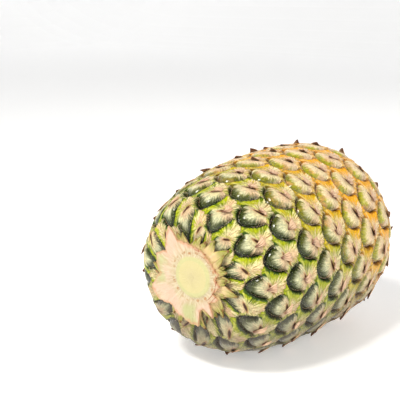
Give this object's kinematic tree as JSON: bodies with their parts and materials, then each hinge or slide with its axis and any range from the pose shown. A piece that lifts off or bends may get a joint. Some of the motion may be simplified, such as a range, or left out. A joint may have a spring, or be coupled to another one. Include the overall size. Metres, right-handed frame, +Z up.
{
  "type": "pineapple",
  "caption": "Whole ripe pineapple lying on its side, its crown cut off to a star-shaped stub, with domed eyes, pointed bracts, collar leaves and a cut stalk.",
  "frame": {"origin": "on the surface that the fruit lies on, under the middle of its bounding box", "axes": "+Y from the cut crown to the stalk along the level axis of the fruit, +Z up, +X to the side"},
  "size_m": [0.131, 0.178, 0.125],
  "materials": {
    "rind": "waxy green to yellow rind with grey-white frosted eyes and straw-pink bracts",
    "cut_stub": "fresh cut, moist cream fibre with a pale yellow core",
    "green_leaf": "pale yellow-green leaf, cream at its root",
    "dry_leaf": "dry, papery, brown",
    "cut_stalk": "dry fibrous cut"
  },
  "bodies": {
    "root": {"fruit": "rind", "crown_stub": "cut_stub", "collar_leaves": "green_leaf", "stalk_leaves": "dry_leaf", "stalk_stub": "cut_stalk"}
  },
  "joints": []
}
